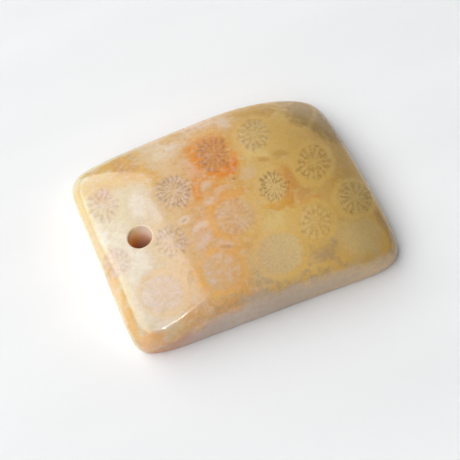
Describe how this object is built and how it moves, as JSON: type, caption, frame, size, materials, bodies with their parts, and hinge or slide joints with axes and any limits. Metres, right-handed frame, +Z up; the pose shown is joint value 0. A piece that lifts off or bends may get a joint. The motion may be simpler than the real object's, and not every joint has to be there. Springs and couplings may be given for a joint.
{
  "type": "fossil coral pendant stone",
  "caption": "Rounded rectangular slice of fossil coral with a domed, polished face, a flat back and a cord hole drilled through near one end.",
  "frame": {"origin": "middle of the flat back, on the surface that the stone lies on", "axes": "+X along the length, away from the drilled end; +Z up, out of the domed face; +Y across the width"},
  "size_m": [0.0362, 0.0282, 0.0087],
  "materials": {
    "polished_fossil_coral": "polished"
  },
  "bodies": {
    "root": {"coral_stone": "polished_fossil_coral"}
  },
  "joints": []
}
